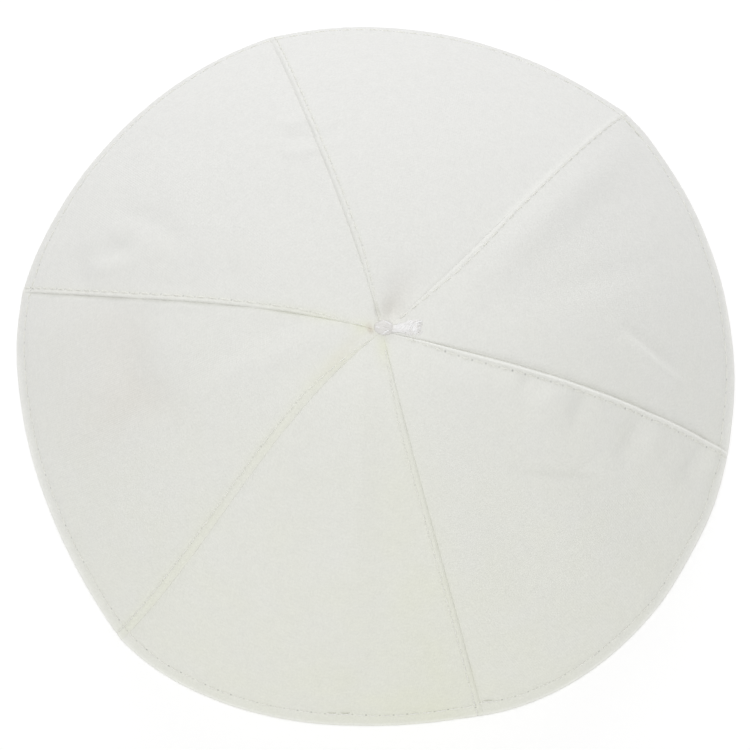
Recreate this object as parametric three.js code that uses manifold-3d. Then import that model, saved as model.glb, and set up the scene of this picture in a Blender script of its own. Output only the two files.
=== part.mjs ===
// Zucchetto: a skullcap of six cotton gores sewn edge to edge, with a turned hem at the rim and a
// short stem of satin thread at the crown. Millimetres, +Z up, resting on its rim at z = 0.
import * as THREE from 'three';
import { mergeVertices } from 'three/addons/utils/BufferGeometryUtils.js';
import Module from 'manifold-3d';

const wasm = await Module();
wasm.setup();

// ---- Driving dimensions -------------------------------------------------------------------
const CROWN_HEIGHT = 52;              // top of the cloth above the rim
const APEX = new THREE.Vector2(1.6, 2.6);   // plan position of the point where the seams meet
const WALL = 1.2;                     // cloth wall of a gore
const HEM_WALL = 1.8;                 // the same with the hem turned up inside it
const HEM_DEPTH = 5.5;                // height of the hem along the wall
const HEM_STEP = 0.6;                 // length over which the hem thins to the wall
const GAP = 0.3;                      // between neighbouring pieces
const STEM_HOLE = 2.0;                // radius left open at the apex for the stem
const TURN_POWER = 12;                // how close to the rim the wall turns steeper
const PRESSED_FROM = 0.9;             // share of the way down where the hem starts to press the welt
const LEVEL_FROM = 0.93;              // share of the way down where the wall's offset turns level

// The seam allowances are pressed to the clockwise side and stitched down, so that side stands up
// as a low welt; the cloth of the other side rolls down into the seam.
const WELT = { height: 0.55, atRim: 0.3, rise: 0.8, width: 5.2, fade: 1.6 };
const ROLL = { depth: 0.3, width: 2.2 };
const FULL_WIDTH = 22;                // gore width below which the welt narrows towards the apex

// One row for each seam, counter-clockwise seen from above, and for the gore that follows it.
// azimuth: direction of the seam's rim end from the origin, degrees; rim: rim radius there;
// bow and sway: the seam's bend and S-bend in plan, clockwise positive; round: power of the
// crown's curve; turn: share of the height that belongs to the steeper wall at the rim;
// middle: rim radius at the gore's middle; lean: how far that bulge leans counter-clockwise.
const SEAMS = [
  { azimuth: -12.9, rim: 90.6, bow: -1.4, sway: 0.3, round: 2.35, turn: 0.03, middle: 89.7, lean: 0.2 },
  { azimuth: 46.5, rim: 91.3, bow: 1.1, sway: 0.5, round: 2.25, turn: 0.12, middle: 87.9, lean: 0.2 },
  { azimuth: 107.6, rim: 89.5, bow: 0.8, sway: 0.3, round: 2.2, turn: 0.2, middle: 88.9, lean: -0.2 },
  { azimuth: 167.3, rim: 91.3, bow: 0.0, sway: 0.6, round: 2.3, turn: 0.06, middle: 88.2, lean: -0.5 },
  { azimuth: 226.9, rim: 92.0, bow: 0.3, sway: 1.5, round: 2.45, turn: -0.02, middle: 89.3, lean: -1.3 },
  { azimuth: 287.3, rim: 89.7, bow: 0.9, sway: 0.1, round: 2.5, turn: -0.02, middle: 91.6, lean: -0.7 },
];

// Dents and soft folds of the worn cloth, in plan. x, y: middle; length, width: half sizes;
// angle: direction of the length from +X, degrees; depth: inward, negative where cloth stands up.
const DENTS = [
  { x: 60, y: 39, length: 15, width: 7, angle: 46, depth: 1.0 },
  { x: 68, y: 1.5, length: 11, width: 4, angle: -27, depth: -0.5 },
  { x: 7, y: 12.5, length: 6, width: 4, angle: 60, depth: 0.5 },
  { x: -19, y: 52, length: 7, width: 4, angle: 20, depth: 0.4 },
  { x: -65, y: 29, length: 9, width: 6, angle: 100, depth: 0.6 },
  { x: -49, y: 27, length: 8, width: 5, angle: 80, depth: 0.5 },
  { x: -64, y: -7, length: 16, width: 10, angle: 95, depth: 0.9 },
  { x: 50, y: -26, length: 15, width: 4, angle: 17, depth: 0.5 },
  { x: 43, y: -14, length: 7, width: 3.5, angle: -70, depth: 0.5 },
  { x: 58, y: -19, length: 8, width: 3.5, angle: -60, depth: 0.6 },
  { x: 75, y: -26, length: 8, width: 4, angle: -50, depth: 0.6 },
  { x: -30, y: -55, length: 18, width: 12, angle: 60, depth: 0.5 },
  { x: 20, y: 62, length: 18, width: 12, angle: 10, depth: 0.5 },
];

// ---- The crown's surface ------------------------------------------------------------------
const mix = THREE.MathUtils.lerp;
const smooth = THREE.MathUtils.smoothstep;

// Values of a gore at a share `across` of its way from its own seam to the next one.
function goreRow(gore, across) {
  const own = SEAMS[gore];
  const next = SEAMS[(gore + 1) % SEAMS.length];
  const turnOver = next.azimuth < own.azimuth ? 360 : 0;
  const row = { azimuth: mix(own.azimuth, next.azimuth + turnOver, across) };
  for (const key of ['bow', 'sway', 'round', 'turn']) row[key] = mix(own[key], next[key], across);
  const bulge = own.middle - (own.rim + next.rim) / 2;
  row.rim = mix(own.rim, next.rim, across)
    + 4 * across * (1 - across) * (bulge + 4 * own.lean * (across - 0.5));
  return row;
}

// Plan line of a row from the apex to the rim: its direction, its length and its clockwise side.
function planLine(row) {
  const angle = THREE.MathUtils.degToRad(row.azimuth);
  const span = new THREE.Vector2(row.rim * Math.cos(angle), row.rim * Math.sin(angle)).sub(APEX);
  const side = new THREE.Vector2(span.y, -span.x).normalize();
  return { span, side, length: span.length() };
}

// Point of the smooth outer surface, at a share `down` of the way from the apex to the rim.
function crownPoint(gore, across, down) {
  const row = goreRow(gore, across);
  const line = planLine(row);
  const sideways = down * (1 - down) * (4 * row.bow + 10 * row.sway * (1 - 2 * down));
  const plan = APEX.clone().addScaledVector(line.span, down).addScaledVector(line.side, sideways);
  const fall = (1 - row.turn) * down ** row.round + row.turn * down ** TURN_POWER;
  return new THREE.Vector3(plan.x, plan.y, CROWN_HEIGHT * (1 - fall));
}

// Outward direction for welts, dents and the wall's thickness, the same for both gores at a seam.
// It turns level at the rim, so the underside of the rim stays flat, and it is stretched to keep
// the wall's true thickness.
function outward(gore, across, down) {
  const row = goreRow(gore, across);
  const line = planLine(row);
  const fall = (1 - row.turn) * row.round * down ** (row.round - 1)
    + row.turn * TURN_POWER * down ** (TURN_POWER - 1);
  const radial = line.span.clone().normalize();
  const steep = Math.atan2(CROWN_HEIGHT * fall, line.length);
  const lift = Math.atan2(Math.cos(steep) * (1 - smooth(down, LEVEL_FROM, 1)), Math.sin(steep));
  const direction = new THREE.Vector3(radial.x * Math.cos(lift), radial.y * Math.cos(lift), Math.sin(lift));
  return direction.divideScalar(Math.cos(Math.PI / 2 - steep - lift));
}

// Share of the way down that lies `height` above the rim, measured along the wall.
function downAtHeight(row, height) {
  const steep = CROWN_HEIGHT * ((1 - row.turn) * row.round + row.turn * TURN_POWER);
  return 1 - height / Math.hypot(planLine(row).length, steep);
}

function dentDepth(point) {
  let depth = 0;
  for (const dent of DENTS) {
    const turn = THREE.MathUtils.degToRad(dent.angle);
    const offset = new THREE.Vector2(point.x - dent.x, point.y - dent.y);
    offset.rotateAround(new THREE.Vector2(), -turn);
    depth += dent.depth * Math.exp(-((offset.x / dent.length) ** 2) - (offset.y / dent.width) ** 2);
  }
  return depth;
}

// Relief over the smooth surface: `before` and `after` are the distances to the gore's own seam
// and to the next one. The gore lies on the clockwise side of the next seam, where the welt is.
// The hem presses the welt flatter at the rim.
function relief(before, after, scale, down) {
  const height = mix(WELT.height, WELT.atRim, smooth(down, PRESSED_FROM, 1)) * scale;
  const roll = ROLL.depth * (1 - smooth(before, 0, ROLL.width * scale));
  const rise = smooth(after, -WELT.rise * scale, WELT.rise * scale) * 2 - 1;
  const fade = 1 - smooth(after, WELT.width * scale, (WELT.width + WELT.fade) * scale);
  return fade * mix(-ROLL.depth, height, rise) - roll;
}

// ---- Gores --------------------------------------------------------------------------------
const CROWN_ROWS = 18;
const HEM_HEIGHTS = [HEM_DEPTH + HEM_STEP, HEM_DEPTH, HEM_DEPTH / 2, 0];
const MIDDLE_COLUMNS = 9;
const ROLL_COLUMNS = [0, 0.35, 1];                     // shares of the roll's width
const WELT_COLUMNS = [WELT.width + WELT.fade, WELT.width, WELT.width / 2, WELT.rise, 0];

// Columns of one row as shares across the gore, with the scale of the welt there.
function columnsAt(gore, down) {
  const own = crownPoint(gore, 0, down);
  const width = own.distanceTo(crownPoint(gore, 1, down));
  const scale = Math.min(1, width / FULL_WIDTH);
  const edge = GAP / 2;
  const first = ROLL_COLUMNS.map((share) => edge + share * ROLL.width * scale);
  const last = WELT_COLUMNS.map((distance) => width - edge - distance * scale);
  const middle = [];
  for (let i = 1; i <= MIDDLE_COLUMNS; i += 1) {
    middle.push(mix(first.at(-1), last[0], i / (MIDDLE_COLUMNS + 1)));
  }
  const distances = [...first, ...middle, ...last];
  return { width, scale, edge, shares: distances.map((distance) => distance / width) };
}

function rowsDown(gore, across) {
  const row = goreRow(gore, across);
  const tip = STEM_HOLE / planLine(row).length;
  const hem = HEM_HEIGHTS.map((height) => downAtHeight(row, height));
  const rows = [];
  for (let i = 0; i < CROWN_ROWS; i += 1) rows.push(mix(tip, hem[0], i / CROWN_ROWS));
  return [...rows, ...hem];
}

// A closed shell from two grids of points, the outer one and the inner one under it.
function shellGeometry(outer, inner) {
  const rows = outer.length;
  const columns = outer[0].length;
  const size = rows * columns;
  const at = (i, j) => i * columns + j;
  const index = [];
  for (let i = 0; i + 1 < rows; i += 1) {
    for (let j = 0; j + 1 < columns; j += 1) {
      const [a, b, c, d] = [at(i, j), at(i + 1, j), at(i + 1, j + 1), at(i, j + 1)];
      index.push(a, b, c, a, c, d);
      index.push(size + a, size + c, size + b, size + a, size + d, size + c);
    }
  }
  const loop = [];
  for (let i = 0; i + 1 < rows; i += 1) loop.push(at(i, 0));
  for (let j = 0; j + 1 < columns; j += 1) loop.push(at(rows - 1, j));
  for (let i = rows - 1; i > 0; i -= 1) loop.push(at(i, columns - 1));
  for (let j = columns - 1; j > 0; j -= 1) loop.push(at(0, j));
  loop.forEach((a, k) => {
    const b = loop[(k + 1) % loop.length];
    index.push(b, a, size + a, b, size + a, size + b);
  });
  const points = [...outer.flat(), ...inner.flat()];
  const geometry = new THREE.BufferGeometry().setFromPoints(points);
  geometry.setIndex(index);
  geometry.computeVertexNormals();
  return geometry;
}

function goreGeometry(gore) {
  const outer = [];
  const inner = [];
  const middleRows = rowsDown(gore, 0.5);
  middleRows.forEach((middleDown, i) => {
    const { width, scale, edge, shares } = columnsAt(gore, middleDown);
    outer.push([]);
    inner.push([]);
    for (const across of shares) {
      const down = rowsDown(gore, across)[i];
      const base = crownPoint(gore, across, down);
      const direction = outward(gore, across, down);
      const before = across * width - edge;
      const after = (1 - across) * width - edge;
      const raised = relief(before, after, scale, down) - dentDepth(base);
      const wall = i > CROWN_ROWS ? HEM_WALL : WALL;
      outer[i].push(base.clone().addScaledVector(direction, raised));
      inner[i].push(base.clone().addScaledVector(direction, -dentDepth(base) - wall));
    }
  });
  return shellGeometry(outer, inner);
}

// ---- Stem ---------------------------------------------------------------------------------
// Locks of thread fused to a head. The root passes through the hole at the apex to a knot inside.
const STEM = {
  root: 1.5,                          // radius through the hole
  knot: { radius: 2.9, height: 1.6, below: 0.45 },   // hidden knot, and its gap to the cloth over it
  clear: 0.5,                         // lowest lock at the root above the cloth's top
};
const SIDES = 12;                     // sides of a lock; a post has twice as many
const LOCK_RINGS = 8;
const LOCK_FULLNESS = 0.6;            // 1 gives a lock the shape of an ellipsoid, less makes it fuller

// from, to: ends of the lock's middle line, in plan from the apex and above the lowest lock's
// underside; thick: its radius at the fattest point.
const LOCKS = [
  { from: [-2.2, 0.3, 1.0], to: [4.2, 0.6, 0.9], thick: 0.95 },
  { from: [-1.8, 1.5, 0.8], to: [4.4, 0.8, 0.8], thick: 0.8 },
  { from: [-1.6, -1.1, 0.8], to: [4.4, 0.4, 0.8], thick: 0.8 },
  { from: [1.6, 0.6, 1.0], to: [7.2, 0.9, 0.7], thick: 0.8 },
  { from: [4.0, 0.7, 0.8], to: [10.2, 3.1, 0.5], thick: 0.7 },
  { from: [4.0, 0.7, 0.9], to: [10.4, 1.9, 0.7], thick: 0.75 },
  { from: [4.0, 0.6, 0.8], to: [10.0, 0.7, 0.5], thick: 0.7 },
  { from: [4.0, 0.5, 0.7], to: [8.9, -0.6, 0.4], thick: 0.65 },
];

// A spindle of thread between two points.
function lockGeometry(from, to, thick) {
  const length = from.distanceTo(to);
  const profile = [];
  for (let i = 0; i <= LOCK_RINGS; i += 1) {
    const turn = (Math.PI * i) / LOCK_RINGS;
    const radius = i % LOCK_RINGS ? thick * Math.sin(turn) ** LOCK_FULLNESS : 0;
    profile.push(new THREE.Vector2(radius, -Math.cos(turn) * length / 2));
  }
  const geometry = new THREE.LatheGeometry(profile, SIDES);
  const direction = to.clone().sub(from).normalize();
  const turn = new THREE.Quaternion().setFromUnitVectors(new THREE.Vector3(0, 1, 0), direction);
  const middle = from.clone().add(to).multiplyScalar(0.5);
  return geometry.applyQuaternion(turn).translate(middle.x, middle.y, middle.z);
}

// An upright cylinder over the apex between two heights.
function postGeometry(radius, low, high) {
  const geometry = new THREE.CylinderGeometry(radius, radius, high - low, 2 * SIDES);
  return geometry.rotateX(Math.PI / 2).translate(APEX.x, APEX.y, (low + high) / 2);
}

function toSolid(geometry) {
  geometry.deleteAttribute('normal');
  geometry.deleteAttribute('uv');
  const merged = mergeVertices(geometry, 1e-4);
  const vertProperties = new Float32Array(merged.attributes.position.array);
  const triVerts = new Uint32Array(merged.index.array);
  return new wasm.Manifold(new wasm.Mesh({ numProp: 3, vertProperties, triVerts }));
}

function toGeometry(solid) {
  const mesh = solid.getMesh();
  const geometry = new THREE.BufferGeometry();
  geometry.setAttribute('position', new THREE.BufferAttribute(mesh.vertProperties, 3));
  geometry.setIndex(new THREE.BufferAttribute(mesh.triVerts, 1));
  geometry.computeVertexNormals();
  return geometry;
}

function stemGeometry() {
  const seat = CROWN_HEIGHT + STEM.clear;
  const knotTop = CROWN_HEIGHT - WALL - STEM.knot.below;
  const knotFloor = knotTop - STEM.knot.height;
  let solid = toSolid(postGeometry(STEM.root, knotFloor + STEM.knot.height / 2, seat + STEM.root / 2));
  solid = solid.add(toSolid(postGeometry(STEM.knot.radius, knotFloor, knotTop)));
  for (const lock of LOCKS) {
    const ends = [lock.from, lock.to].map(([x, y, lift]) => (
      new THREE.Vector3(APEX.x + x, APEX.y + y, seat + lift)
    ));
    solid = solid.add(toSolid(lockGeometry(...ends, lock.thick)));
  }
  return toGeometry(solid);
}

// ---- The zucchetto ------------------------------------------------------------------------
const cotton = { color: 0xe6e6e2, roughness: 0.9, metalness: 0 };
const satin = { color: 0xf2f2f4, roughness: 0.5, metalness: 0 };

const zucchetto = new THREE.Group();

function addPiece(name, geometry, finish) {
  const mesh = new THREE.Mesh(geometry, new THREE.MeshStandardMaterial(finish));
  mesh.name = name;
  zucchetto.add(mesh);
}

SEAMS.forEach((seam, gore) => addPiece(`gore_${gore + 1}`, goreGeometry(gore), cotton));
addPiece('stem', stemGeometry(), satin);

export default zucchetto;
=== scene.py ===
import math
from collections import namedtuple

import bmesh
import bpy
from mathutils import Matrix, Vector, noise


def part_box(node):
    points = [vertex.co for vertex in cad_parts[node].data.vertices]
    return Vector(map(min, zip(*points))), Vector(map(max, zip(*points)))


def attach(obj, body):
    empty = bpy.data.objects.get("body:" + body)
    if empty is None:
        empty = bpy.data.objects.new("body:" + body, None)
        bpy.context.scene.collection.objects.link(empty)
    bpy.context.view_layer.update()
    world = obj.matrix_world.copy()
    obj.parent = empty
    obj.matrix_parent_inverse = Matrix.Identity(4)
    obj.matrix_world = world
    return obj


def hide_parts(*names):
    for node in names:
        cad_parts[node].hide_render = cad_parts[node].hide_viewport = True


bl_info = {
    "name": "Zucchetto",
    "version": (1, 0, 0),
    "blender": (4, 5, 0),
    "location": "View3D > Sidebar > Zucchetto",
    "description": "Lays the gores, stitches and stem of a sewn skullcap around its packed model",
    "category": "Object",
}

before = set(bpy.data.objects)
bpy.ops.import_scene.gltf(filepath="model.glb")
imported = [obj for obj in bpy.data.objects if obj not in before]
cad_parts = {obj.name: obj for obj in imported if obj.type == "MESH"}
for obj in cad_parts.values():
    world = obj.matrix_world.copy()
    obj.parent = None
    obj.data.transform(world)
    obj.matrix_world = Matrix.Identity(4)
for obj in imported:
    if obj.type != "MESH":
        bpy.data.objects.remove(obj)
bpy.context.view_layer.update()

MM = 0.001
STEM_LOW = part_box("stem")[0]

# ---- The crown, as its construction gives it ----------------------------------------------------
# One row for each seam, counter-clockwise seen from above, and for the gore that follows it, in
# millimetres and degrees. azimuth, rim: the seam's rim end; bow, sway: its bend and S-bend in
# plan, clockwise positive; round: power of the crown's curve; turn: share of the height in the
# steeper wall at the rim; middle: rim radius at the gore's middle; lean: how far that bulge leans.
Seam = namedtuple("Seam", "azimuth rim bow sway round turn middle lean")
SEAMS = [
    Seam(-12.9, 90.6, -1.4, 0.3, 2.35, 0.03, 89.7, 0.2),
    Seam(46.5, 91.3, 1.1, 0.5, 2.25, 0.12, 87.9, 0.2),
    Seam(107.6, 89.5, 0.8, 0.3, 2.2, 0.2, 88.9, -0.2),
    Seam(167.3, 91.3, 0.0, 0.6, 2.3, 0.06, 88.2, -0.5),
    Seam(226.9, 92.0, 0.3, 1.5, 2.45, -0.02, 89.3, -1.3),
    Seam(287.3, 89.7, 0.9, 0.1, 2.5, -0.02, 91.6, -0.7),
]

# How each seam is sewn, in the same order, in millimetres. stitch, outer_stitch: from the seam to
# its topstitching, over the inner and the outer half; ditch, outer_ditch: depth of the seam there;
# uneven: share of that depth that comes and goes; welt: height of the pressed allowances beside
# it; rise: how far from the seam they reach that height; ridge: further height of the roll of
# cloth between the seam and its stitches; roll: how far from the seam the other gore rolls in;
# bulge: height to which that gore stands up there over the outer half of the seam; pucker: height
# of the puckers that the stitches draw. As shares: cream: how far the doubled cloth has yellowed;
# pale: strength of the painted highlight on its crest; holes: how far its needle holes stand open,
# which sets the painted shade in them.
Sewn = namedtuple(
    "Sewn",
    "stitch outer_stitch ditch outer_ditch uneven welt rise ridge roll bulge pucker cream pale holes")
SEWN = [
    Sewn(1.7, 1.7, 0.64, 0.69, 0.15, 0.14, 0.36, 0.44, 2.3, 0.0, 0.12, 0.03, 0.75, 0.9),
    Sewn(1.4, 0.95, 0.16, 0.02, 0.2, 0.10, 1.1, 0.06, 1.5, 0.13, 0.06, 0.02, 0.3, 0.30),
    Sewn(1.4, 1.4, 0.31, 0.35, 0.15, 0.20, 0.8, 0.04, 1.5, 0.0, 0.07, 0.05, 0.0, 0.45),
    Sewn(1.15, 1.2, 0.38, 0.49, 0.5, 0.12, 0.42, 0.10, 1.7, 0.0, 0.09, 0.09, 0.2, 0.7),
    Sewn(1.95, 1.95, 0.27, 0.31, 0.2, 0.16, 1.35, 0.02, 2.2, 0.0, 0.08, 0.20, 0.0, 0.5),
    Sewn(1.45, 1.38, 0.24, 0.27, 0.3, 0.17, 0.7, 0.04, 1.1, 0.0, 0.06, 0.09, 0.0, 0.45),
]
APEX = Vector((1.6, 2.6)) * MM  # plan position of the point where the seams meet
TURN_POWER = 12  # how close to the rim the wall turns steeper
FULL_WIDTH = 22 * MM  # gore width below which the welt narrows

# Shares of the way down from the apex to the rim.
OUTER_FROM, OUTER_TO = 0.32, 0.5  # where the outer half of a seam takes over
FOLD_FROM = 0.88  # where the crown starts to lift for the rim's fold
PRESSED_FROM, PRESSED_TO = 0.9, 0.985  # where the hem presses the welt
LEVEL_FROM = 0.93  # where the offset turns level
RIM_LINE_DOWN = 0.96  # where the length round the rim is taken

# How far the rim's stitched line strays inward from its even distance to the edge, millimetres, at
# even steps round from +X.
RIM_STRAY = [0.15, 0.15, -0.1, -0.1, -0.3, -0.3, -0.15, -0.3, -0.3, -0.45, 0.1, -0.6]

# Dents of the worn cloth in plan, millimetres. length, width: half sizes; angle: direction of the
# length from +X in degrees; depth: inward, negative where the cloth stands up.
Dent = namedtuple("Dent", "x y length width angle depth")
DENTS = [
    Dent(38.5, 29.5, 32, 5.2, 47, -1.5),
    Dent(50, 8, 17, 17, 0, -1.4),
    Dent(52, 17, 17, 3.6, 22, 0.45),
    Dent(66, -13.5, 25, 9, -14, 0.9),
    Dent(6.2, 11.5, 6, 3.8, 62, 1.5),
    Dent(4.3, 7.3, 3.2, 2.4, 72, 1.5),
    Dent(28, -11.5, 17, 5, -17, -1.3),
    Dent(40, -12.5, 5.5, 3.0, 58, -0.80),
    Dent(48.6, -14.8, 5, 2.2, 58, 0.55),
    Dent(62.4, -19.4, 7.5, 2.9, 57, 0.9),
    Dent(68, -20.2, 6, 2.6, 57, -0.6),
    Dent(78, -25, 7, 2.4, 57, 1.0),
    Dent(84, -23, 5, 2.2, 60, -0.5),
    Dent(62, -36, 18, 9, -35, 0.9),
    Dent(-63.5, 26.5, 4.5, 3.0, 25, 1.1),
    Dent(-65.5, 23, 6, 2.6, 5, -0.5),
    Dent(-53, 31.5, 8, 3.2, -28, 0.5),
    Dent(-48, 27, 4, 2.4, -60, 0.3),
    Dent(-57, 35, 9, 3.0, -12, 0.25),
    Dent(-73, 22, 6, 3.0, 85, 0.6),
    Dent(-35, 18, 7, 2.6, 88, 0.45),
    Dent(-60, 15, 28, 8, -9, 1.2),
    Dent(-57, -8, 13, 6, -40, 1.8),
    Dent(-64, -15, 8, 5, 20, 1.4),
    Dent(-60, 3, 6, 8, 10, 1.4),
    Dent(-32, -7, 24, 4, 24, -1.2),
    Dent(-42, 55, 14, 7, 30, 0.45),
    Dent(-21, 33, 10, 5, 75, 0.5),
    Dent(-36, -58, 9, 6, 50, 0.8),
    Dent(-14, -36, 18, 5, 82, 1.0),
    Dent(-4, -28, 22, 3.4, 87, -0.9),
    Dent(-24, -31, 14, 4, 60, -0.6),
    Dent(2, -52, 22, 4, 88, 0.5),
    Dent(30, -22, 13, 8, -35, 0.7),
    Dent(33, -46, 15, 11, -50, 1.3),
    Dent(20, 62, 18, 12, 10, 0.5),
    Dent(-4, -79, 6, 3.5, 75, 0.7),
    Dent(24, -76, 6, 4, 80, 0.5),
]

# Soft creases that only the finished cloth has: from (x, y) to (to_x, to_y) in plan, millimetres.
Crease = namedtuple("Crease", "x y to_x to_y width depth")
CREASES = [
    Crease(51.2, -9.8, 46.6, -17.4, 2.0, 0.44),
    Crease(46.4, -8.8, 41.8, -16.4, 2.0, -0.40),
    Crease(67.6, -13.4, 58.6, -26.4, 2.3, 0.42),
    Crease(83.0, -18.6, 76.4, -29.2, 1.7, 0.46),
    Crease(36.6, -5.8, 33.4, -12.4, 1.3, 0.28),
    Crease(32.0, -28.8, 55.0, -29.0, 1.4, 0.95),
    Crease(47.0, -29.4, 55.0, -25.0, 1.3, 0.45),
    Crease(58.2, 6.8, 76.8, -3.4, 1.7, 0.75),
    Crease(57.2, 3.4, 75.6, -6.6, 1.9, -0.80),
    Crease(-25.0, 55.0, -14.6, 56.8, 1.7, -0.55),
    Crease(-23.0, 51.4, -12.6, 52.2, 1.5, 0.55),
    Crease(-22.0, 47.0, -12.6, 48.6, 1.7, -0.60),
    Crease(-13.6, 50.0, -7.0, 55.8, 1.5, 0.36),
    Crease(8.2, -36.0, 10.6, -46.0, 1.6, 0.18),
]

# Spots where threads cross and are pulled tight, like dents.
PINCHES = [
    Dent(-1.0, 2.7, 1.2, 0.45, 118, 0.65),
    Dent(0.6, 6.9, 2.4, 0.5, 106, 0.8),
    Dent(-7.5, -85.1, 4.6, 0.8, 0, 0.14),
    Dent(64.6, 59.6, 1.6, 1.0, -40, 0.30),
    Dent(27.0, -82.6, 1.9, 0.9, 12, 0.32),
]

# ---- Sizes of the mesh and of the sewing --------------------------------------------------------
COLUMNS = 136  # of a gore's grid
ROWS = 226
RIM_BAND = 8 * MM  # height of the band with closer rows
RIM_BAND_FROM = 0.88  # share of the rows above that band
FOLD_CUTS = 5  # extra rows round the fold of the rim
SEAM_GAP = 0.002 * MM  # from a gore's edge to the seam's line
TIP_HOLE = 0.7 * MM  # radius left open at the apex, under the stem
# Shares of the columns, and how far they reach: in the roll beside a gore's own seam and in the
# welt beside the next seam. NEARER is the power by which they gather towards the seam.
ROLL_SHARE, ROLL_REACH = 0.12, 3.2 * MM
WELT_SHARE, WELT_REACH = 0.25, 9 * MM
NEARER = 1.4
SURVEY_STEPS = 240  # steps of the tables of lengths along seams and rim
SURVEY_SHARES = [i / SURVEY_STEPS for i in range(SURVEY_STEPS + 1)]
LAST_STITCH = 2.5 * MM  # from the apex to the end of a seam's stitches
FLAT_LENGTH = 1.15  # flat cloth for each length in plan, down a gore

# ---- Sizes of the relief ------------------------------------------------------------------------
WELT_END = 14 * MM  # where each relief has died out, away from the seam
ROLL_END = 10 * MM
HEM_END = 14 * MM  # the same, up from the rim
CREASE_END = 3  # half widths beyond which a crease is nothing
SPOT_END = 2.6  # half sizes beyond which a soft spot is nothing
PRESSED = 0.95  # share of the welt that the hem presses away
KEPT_DITCH = 0.2  # least share of its depth that an uneven ditch keeps
DITCH_POWER = 0.6  # how a ditch gets less as the gore narrows
BULGE_PLACE, BULGE_WIDTH = 0.1 * MM, 0.62 * MM  # how far past the seam it is highest, and half width
RIDGE_WIDTH = 0.42 * MM  # of the roll of cloth beside the stitches
WAVE, WAVE_PLACE = 0.07, 0.8 * MM  # share of the welt that swells between two holes
SEAM_LINE_WIDTH = 0.5 * MM  # half widths of the grooves under the stitches
RIM_LINE_WIDTH = 0.55 * MM
HOLE_WIDTH = 0.45 * MM  # half width of the dimple at a needle hole
HEM_SUNK = 0.15 * MM  # how far the pressed hem lies in
HEM_PUCKER = 0.16 * MM  # height of the puckers along the hem
FADE_FROM, FADE_TO = 0.45, 1.7  # widths of the welt over which it fades out
INNER_LINE, INNER_LINE_WIDTH = 0.15 * MM, 0.6 * MM  # groove of the stitches on the inside
ALLOWANCE = 0.35 * MM  # cloth of the sewn-down allowance on the inside
CREST_HIGHLIGHT_WIDTH = 0.42 * MM  # of the painted highlight on the crest of the gore that stands up
CLOTH_MARKS = ("yellowed", "rusted", "paled", "pierced")  # attributes that the cloth carries: yellowing, brown stains and painted shade, painted highlight, painted shade in needle holes


def linear(hex_colour):
    """Linear red, green and blue of an sRGB hex colour."""
    channels = [int(hex_colour[i:i + 2], 16) / 255 for i in (0, 2, 4)]
    return [c / 12.92 if c <= 0.04045 else ((c + 0.055) / 1.055) ** 2.4 for c in channels]


def length_setting(name, description, default, low, high):
    """A length, given here in millimetres."""
    return bpy.props.FloatProperty(
        name=name, description=description, default=default * MM, min=low * MM, max=high * MM,
        unit="LENGTH")


def share_setting(name, description, default=1, high=2):
    """A strength, where 0 is none."""
    return bpy.props.FloatProperty(
        name=name, description=description, default=default, min=0, max=high, subtype="FACTOR")


def count_setting(name, description, default):
    """A number of strands."""
    return bpy.props.IntProperty(name=name, description=description, default=default, min=8, max=80)


def colour_setting(name, description, hex_colour):
    """A colour, given here as sRGB hex."""
    return bpy.props.FloatVectorProperty(
        name=name, description=description, subtype="COLOR", default=linear(hex_colour), min=0,
        max=1)


class ClothSettings(bpy.types.PropertyGroup):
    """Sizes of the sewn cloth."""

    crown_height: length_setting("Crown height", "Top of the cloth above the rim", 52, 20, 100)
    wall: length_setting("Wall", "Thickness of a gore with its backing", 1.2, 0.3, 3)
    hem_wall: length_setting("Hem wall", "Thickness where the hem is turned up", 1.8, 0.5, 4)
    hem_depth: length_setting("Hem depth", "Height of the hem along the wall", 5.5, 3, 20)
    seam_relief: share_setting("Seam relief", "Share of the depth of ditches, welts and puckers")
    welt_width: length_setting("Welt width", "Width of the pressed seam allowance", 5.2, 2, 10)
    cream: share_setting("Cream", "How much the pressed seam allowances have yellowed")
    crinkle: length_setting("Crinkle", "Height of the small unevenness of the cotton", 0.08, 0, 1)
    sag: length_setting("Sag", "Height of the broad soft waves between the seams", 0.38, 0, 2)


class SewingSettings(bpy.types.PropertyGroup):
    """Sizes of the topstitching."""

    pitch: length_setting("Stitch length", "From one needle hole to the next", 3.33, 1, 6)
    thread: length_setting("Thread", "Diameter of each of the thread's two plies", 0.22, 0.1, 0.5)
    rim_line: length_setting("Rim line", "From the fold of the rim up to its stitches", 4.4, 2, 10)
    groove: length_setting("Groove", "Depth to which a stitch pulls the cloth in", 0.025, 0, 1)
    hole: length_setting("Hole", "Further depth of the dimple at a needle hole", 0.06, 0, 1)


class StemSettings(bpy.types.PropertyGroup):
    """Sizes of the satin thread stem."""

    strand: length_setting("Strand", "Diameter of one strand of satin thread", 0.34, 0.1, 1)
    head_strands: count_setting("Head strands", "Strands laid over the head of the stem", 30)
    tail_strands: count_setting("Tail strands", "Strands twisted round the tail", 26)


class FinishSettings(bpy.types.PropertyGroup):
    """Colours of the materials."""

    cloth: colour_setting("Cotton", "The bleached cotton", "e3e3e1")
    yellowed: colour_setting("Yellowed", "The cotton where it has aged", "e0e2c9")
    # Also the colour of the painted shade in the hollow and on the pinch beside the stem.
    rust: colour_setting("Rust", "The faint brown marks", "c9b3a4")
    # Painted highlight on crests, a crease, the crown and the fold of the rim.
    paled: colour_setting("Paled", "The cotton where it is worn pale", "f7f7f3")
    thread: colour_setting("Sewing thread", "The topstitching", "ebebe4")
    satin: colour_setting("Satin thread", "The stem", "f8f8f9")
    handled: colour_setting("Handled satin", "The stem where it is taken hold of", "e0dedb")
    floor: colour_setting("Floor", "The matte floor", "fbfbfb")


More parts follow.
